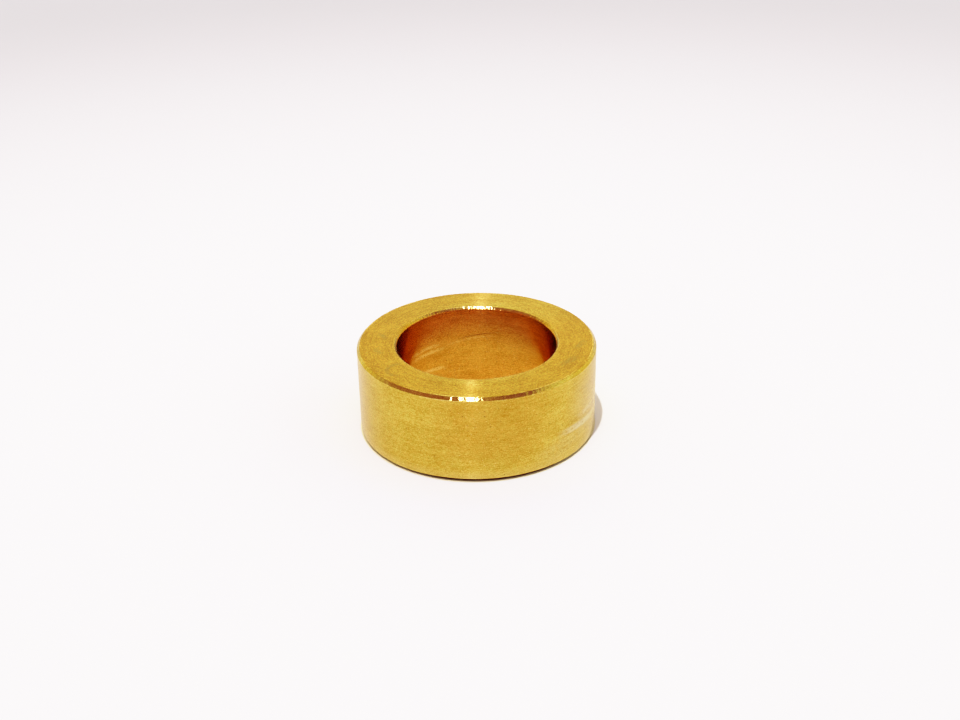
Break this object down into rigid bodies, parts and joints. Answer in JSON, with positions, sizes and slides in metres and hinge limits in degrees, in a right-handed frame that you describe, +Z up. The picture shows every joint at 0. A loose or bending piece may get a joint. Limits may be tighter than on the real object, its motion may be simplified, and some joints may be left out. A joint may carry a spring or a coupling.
{
  "type": "guitar slide",
  "caption": "Short thick-walled turned ring worn on one finger as a guitar slide; its outer wall rides the strings.",
  "frame": {"origin": "centre of the flat face the ring stands on, on the bore's axis", "axes": "+Z up along the bore's axis; the ring is round about Z, so +X and +Y are any two directions across it"},
  "size_m": [0.03, 0.03, 0.0113],
  "materials": {
    "turned_brass": "bare brass as turned: fine circular tool lines, satin, faintly tarnished"
  },
  "bodies": {
    "root": {"slide_ring": "turned_brass"}
  },
  "joints": []
}
